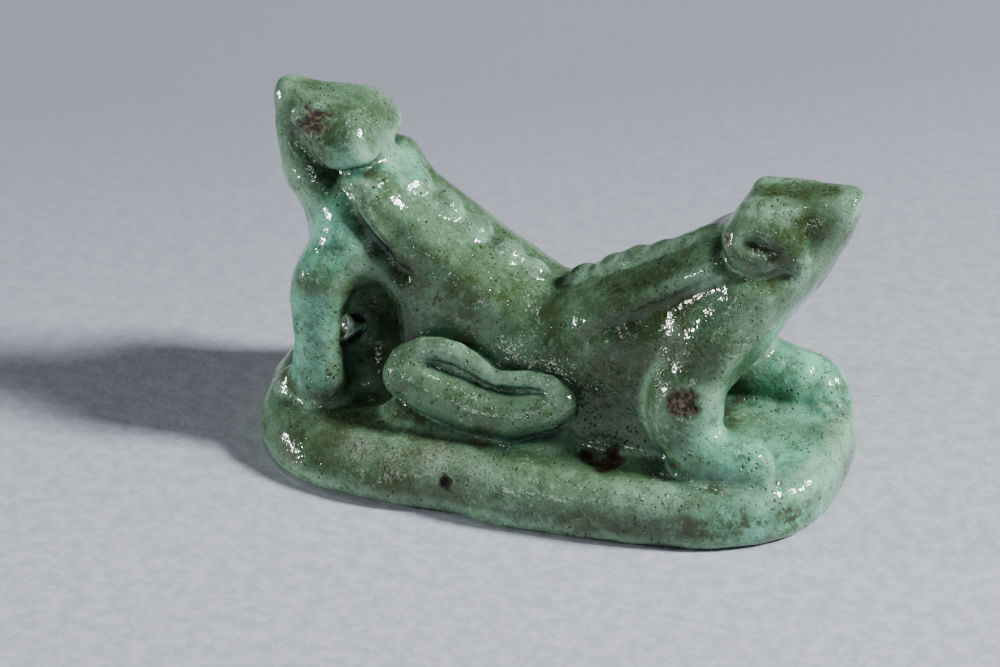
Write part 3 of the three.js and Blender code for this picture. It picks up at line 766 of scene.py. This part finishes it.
# %% The piece in Blender
def piece_from(name, points, faces):
    mesh = bpy.data.meshes.new(name)
    mesh.vertices.add(len(points))
    mesh.vertices.foreach_set("co", (points * mm).astype(np.float32).ravel())
    mesh.loops.add(4 * len(faces))
    mesh.loops.foreach_set("vertex_index", faces.astype(np.int32).ravel())
    mesh.polygons.add(len(faces))
    mesh.polygons.foreach_set("loop_start", np.arange(0, 4 * len(faces), 4, dtype=np.int32))
    mesh.polygons.foreach_set("use_smooth", np.ones(len(faces), bool))
    mesh.update(calc_edges=True)
    mesh.validate()
    piece = bpy.data.objects.new(name, mesh)
    bpy.context.collection.objects.link(piece)
    return piece


def keep_number(mesh, name, values):
    mesh.attributes.new(name, "FLOAT", "POINT").data.foreach_set("value", values.astype(np.float32))


double_frog = piece_from("glazed_double_frog", vertices, quads)
numbers = {
    "pool": pool, "ridge": ridge, "bare": bare, "rusty": rusty,
    "fresh_and_lit": fresh_and_lit, "stain_and_shade": stain_and_shade, "painted_shade": painted_shade, "scuff_and_sheen": scuff_and_sheen,
}
for name, values in numbers.items():
    keep_number(double_frog.data, name, values)
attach(double_frog, "root")
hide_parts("double_frog")
print(f"{double_frog.name}: {len(double_frog.data.polygons)} faces")


# %% [markdown]
# ## The glaze
# Egyptian faience is a self-glazing quartz paste coloured with copper. Fired, it is a glassy skin a
# few tenths of a millimetre thick: green-turquoise where it is thick, pale where it is thin, stained
# olive and brown by iron and burial, and pricked with dark pinholes. Such a glaze has an index near 1.5.
# The colours could be painted on, but a node material follows the form by the numbers kept above, some of
# which also paint light and shade into the colour.

# %% Colour and node helpers
def linear(hex_colour):
    """An sRGB hex colour as the linear values that Blender's shaders use."""
    parts = [int(hex_colour[i:i + 2], 16) / 255 for i in (1, 3, 5)]
    return tuple(c / 12.92 if c <= 0.04045 else ((c + 0.055) / 1.055) ** 2.4 for c in parts) + (1.0,)


def new_material(name):
    material = bpy.data.materials.new(name)
    material.use_nodes = True
    tree = material.node_tree
    tree.nodes.clear()
    return material, tree


def node(tree, kind, settings=None, **inputs):
    """Adds one node. Each input is a value, or another node's output to link."""
    made = tree.nodes.new(kind)
    for key, value in (settings or {}).items():
        setattr(made, key, value)
    for key, value in inputs.items():
        socket = made.inputs[int(key[1:])] if key[1:].isdigit() else made.inputs[key.replace("_", " ")]
        if isinstance(value, bpy.types.NodeSocket):
            tree.links.new(value, socket)
        else:
            socket.default_value = value
    return made


print("linear mid grey:", round(linear("#808080")[0], 3))


# %% Patterns for the glaze
PER_MM = 1 / mm


class Patterns:
    """Short names for the nodes that make a material's patterns. Sizes are in millimetres."""

    def __init__(self, tree):
        self.tree = tree
        self.place = node(tree, "ShaderNodeTexCoord").outputs["Object"]

    def noise(self, millimetres, detail=2.0, roughness=0.5):
        return node(self.tree, "ShaderNodeTexNoise", None, Vector=self.place, Scale=PER_MM / millimetres,
                    Detail=detail, Roughness=roughness).outputs["Fac"]

    def cells(self, millimetres):
        return node(self.tree, "ShaderNodeTexVoronoi", None, Vector=self.place,
                    Scale=PER_MM / millimetres).outputs["Distance"]

    def kept(self, name):
        return node(self.tree, "ShaderNodeAttribute", {"attribute_name": name}).outputs["Fac"]

    def spread(self, value, start, end, low=0.0, high=1.0):
        return node(self.tree, "ShaderNodeMapRange", {"interpolation_type": "SMOOTHSTEP"}, Value=value,
                    From_Min=start, From_Max=end, To_Min=low, To_Max=high).outputs["Result"]

    def times(self, a, b):
        return node(self.tree, "ShaderNodeMath", {"operation": "MULTIPLY"}, i0=a, i1=b).outputs[0]

    def plus(self, a, b):
        return node(self.tree, "ShaderNodeMath", {"operation": "ADD", "use_clamp": True},
                    i0=a, i1=b).outputs[0]

    def mixed(self, share, base, over):
        return node(self.tree, "ShaderNodeMix", {"data_type": "RGBA"},
                    i0=share, i6=base, i7=over).outputs[2]


# %% The glaze's own colours and its stains, with painted light and painted shade
def clouds_stains_light_and_shade(at):
    # Broad clouds of grey-green, then turquoise where the glaze stayed fresh; the same turquoise also
    # paints light on the raised frog's leg and a highlight on its shoulder.
    colour = at.mixed(at.spread(at.noise(3.5, 5, 0.65), 0.40, 0.60), linear("#425C40"), linear("#5A7C60"))
    blue = at.times(at.spread(at.kept("fresh_and_lit"), 0.1, 0.75),
                    at.spread(at.noise(1.4, 5, 0.65), 0.34, 0.6, 0.35, 1.0))
    colour = at.mixed(blue, colour, linear("#70BA9E"))
    # Pale flecks of a fraction of a millimetre, where the quartz shows through.
    flecks = at.times(at.spread(at.noise(0.28, 4, 0.7), 0.50, 0.66),
                      at.spread(at.noise(2.2, 3), 0.4, 0.62, 0.15, 0.6))
    colour = at.mixed(flecks, colour, linear("#8BB092"))
    # Olive and brown staining in mottles of a millimetre, denser where burial stained it; the same stain
    # also paints shade on the near side and the ends of the base.
    stains_and_shade = at.times(at.kept("stain_and_shade"), at.spread(at.noise(0.8, 6, 0.75), 0.38, 0.58, 0.15, 0.9))
    mottle = at.plus(at.spread(at.noise(1.3, 7, 0.75), 0.50, 0.64, 0, 0.6), stains_and_shade)
    return at.mixed(mottle, colour, linear("#394524"))


# %% Thin glaze, pooled glaze, dirt and painted shade
def ridges_pools_and_shade(at, colour):
    # Thin glaze on the ridges is pale, and deep glaze in the hollows is dark green, with dirt in it.
    pooled = at.kept("pool")
    thin = at.times(at.spread(at.kept("ridge"), 0.12, 0.6),
                    at.spread(at.noise(0.7, 5, 0.7), 0.34, 0.6, 0.2, 0.75))
    colour = at.mixed(thin, colour, linear("#86B092"))
    colour = at.mixed(at.spread(pooled, 0.25, 1.0, 0, 0.8), colour, linear("#1B4034"))
    dirt = at.times(at.spread(pooled, 0.25, 0.8, 0, 0.65), at.spread(at.noise(1.3, 5, 0.7), 0.46, 0.62))
    colour = at.mixed(dirt, colour, linear("#34321A"))
    # Painted shade: near black-brown in the armpit hollow, the groove behind the raised frog's shoulder,
    # behind the level foot and in the level eye.
    painted_shade = at.times(at.kept("painted_shade"), at.spread(at.noise(0.9, 5, 0.7), 0.3, 0.6, 0.5, 1.0))
    return at.mixed(painted_shade, colour, linear("#1C170B"))


# %% Pinholes, worn spots and a painted highlight
def pinholes_in(at):
    """Pinholes of 0.05 to 0.15 mm, in clusters."""
    return at.times(at.spread(at.cells(0.34), 0.27, 0.14), at.spread(at.noise(1.6, 4, 0.65), 0.42, 0.62))


def pricked_worn_and_sheen(at, colour, pinholes):
    # Dark pinholes, and finer peppering nearly everywhere.
    pepper = at.times(at.spread(at.cells(0.15), 0.34, 0.2),
                      at.spread(at.noise(0.9, 5, 0.7), 0.42, 0.6, 0.12, 0.9))
    colour = at.mixed(at.times(at.plus(pinholes, pepper), 0.8), colour, linear("#231C0E"))
    # Scuffed glaze is grey and grainy, and its pale grey also paints a highlight on the near rim. Bare
    # paste is brown and full of dark pores.
    grainy = at.spread(at.noise(0.13, 3, 0.7), 0.44, 0.6)
    colour = at.mixed(at.times(at.kept("scuff_and_sheen"), at.times(grainy, 0.5)), colour, linear("#A3A89C"))
    pores = at.spread(at.noise(0.26, 4, 0.7), 0.46, 0.6)
    colour = at.mixed(at.kept("bare"), colour, at.mixed(pores, linear("#1E170D"), linear("#645A42")))
    return at.mixed(at.kept("rusty"), colour, at.mixed(pores, linear("#1C130B"), linear("#46321F")))


# %% The faience glaze
GLAZE_IOR = 1.47
PEEL_SIZE, PEEL_HEIGHT = 0.24, 0.038
PINHOLE_DEPTH = 0.08


def faience_glaze():
    """Glossy, with a faint orange peel that breaks each highlight into grains."""
    material, tree = new_material("faience_glaze")
    at = Patterns(tree)
    pinholes = pinholes_in(at)
    colour = pricked_worn_and_sheen(at, ridges_pools_and_shade(at, clouds_stains_light_and_shade(at)), pinholes)
    peel = node(tree, "ShaderNodeBump", None, Strength=1.0, Distance=PEEL_HEIGHT * mm,
                Height=at.noise(PEEL_SIZE, 1.5, 0.5))
    pricked = node(tree, "ShaderNodeBump", {"invert": True}, Strength=0.7, Distance=PINHOLE_DEPTH * mm,
                   Height=pinholes, Normal=peel.outputs["Normal"])
    gone = at.plus(at.kept("bare"), at.kept("rusty"))
    dull = at.plus(at.times(gone, 0.6), at.times(at.kept("scuff_and_sheen"), 0.15))
    rough = at.plus(at.spread(at.noise(0.8, 4, 0.6), 0.38, 0.62, 0.06, 0.16), dull)
    shader = node(tree, "ShaderNodeBsdfPrincipled", None, Base_Color=colour, Roughness=rough,
                  IOR=GLAZE_IOR, Normal=pricked.outputs["Normal"])
    node(tree, "ShaderNodeOutputMaterial", None, Surface=shader.outputs[0])
    return material


double_frog.data.materials.append(faience_glaze())
print("glaze on", double_frog.name, "with", len(double_frog.data.materials[0].node_tree.nodes), "nodes")


# %% [markdown]
# ## The studio
# The piece stands on pale paper. The strongest softened lamp stands to the right and throws the shadow to
# the left. A second one from the left lights the raised frog's throat, and two weak ones in front and
# above put small highlights on the glaze. The room adds a little light from all round.

# %% The paper it stands on
PAPER_GRAIN, GRAIN_HEIGHT = 0.9, 0.1
PAPER_LOW, PAPER_HIGH, PAPER_IN_SHADE = "#A9ADB8", "#BDC1CB", "#8A8E9A"
SHADE_WAY = (-0.45, 0.89, 0.0)
SHADE_FROM, SHADE_TO = -6, 40


def paper():
    """Matt paper with a faint cloudy grain of about a millimetre, and painted shade towards the back left.
    """
    material, tree = new_material("pale_paper")
    place = node(tree, "ShaderNodeTexCoord").outputs["Object"]
    fibre = node(tree, "ShaderNodeTexNoise", None, Vector=place, Scale=PER_MM / PAPER_GRAIN, Detail=6.0,
                 Roughness=0.75).outputs["Fac"]
    blotch = node(tree, "ShaderNodeMapRange", None, Value=fibre, From_Min=0.42, From_Max=0.58)
    tone = node(tree, "ShaderNodeMix", {"data_type": "RGBA"}, i0=blotch.outputs["Result"],
                i6=linear(PAPER_LOW), i7=linear(PAPER_HIGH))
    # Painted shade: the flat paper's colour darkens towards the back left.
    along = node(tree, "ShaderNodeVectorMath", {"operation": "DOT_PRODUCT"}, i0=place, i1=SHADE_WAY)
    shade = node(tree, "ShaderNodeMapRange", None, Value=along.outputs["Value"], From_Min=SHADE_FROM * mm,
                 From_Max=SHADE_TO * mm)
    colour = node(tree, "ShaderNodeMix", {"data_type": "RGBA"}, i0=shade.outputs["Result"],
                  i6=tone.outputs[2], i7=linear(PAPER_IN_SHADE))
    grain = node(tree, "ShaderNodeBump", None, Strength=0.5, Distance=GRAIN_HEIGHT * mm, Height=fibre)
    shader = node(tree, "ShaderNodeBsdfPrincipled", None, Base_Color=colour.outputs[2], Roughness=0.9,
                  Normal=grain.outputs["Normal"])
    node(tree, "ShaderNodeOutputMaterial", None, Surface=shader.outputs[0])
    return material


FLOOR_SIDE = 4


def stand():
    bpy.ops.mesh.primitive_plane_add(size=FLOOR_SIDE)
    floor = bpy.context.object
    floor.name = "pale_floor"
    floor.data.materials.append(paper())
    return floor


floor = stand()
print("floor", tuple(round(d, 2) for d in floor.dimensions))


# %% Lamps
LAMP_AIM = (0, 0, 8)


def lamp(name, place, size, watts):
    """A square soft lamp at a place in millimetres, turned towards the piece."""
    data = bpy.data.lights.new(name, "AREA")
    data.size = size * mm
    data.energy = watts
    light = bpy.data.objects.new(name, data)
    light.location = Vector(place) * mm
    light.rotation_euler = (Vector(LAMP_AIM) - Vector(place)).to_track_quat("-Z", "Y").to_euler()
    bpy.context.collection.objects.link(light)
    return light


lamps = [
    lamp("right_softbox", (380, 60, 300), 90, 5.4),
    lamp("left_softbox", (-390, -130, 75), 40, 1.25),
    lamp("front_softbox", (-90, -430, 130), 70, 0.12),
    lamp("top_softbox", (-20, -120, 480), 40, 0.18),
]
print(f"{len(lamps)} lamps of {sum(light.data.energy for light in lamps):.2f} W in all")

# %% The air of the room
AIR_COLOUR, AIR_STRENGTH = "#CDD3DE", 0.06

world = bpy.data.worlds.new("studio_air")
world.use_nodes = True
background = world.node_tree.nodes["Background"]
background.inputs["Color"].default_value = linear(AIR_COLOUR)
background.inputs["Strength"].default_value = AIR_STRENGTH
bpy.context.scene.world = world
print(f"the air has a strength of {AIR_STRENGTH}")
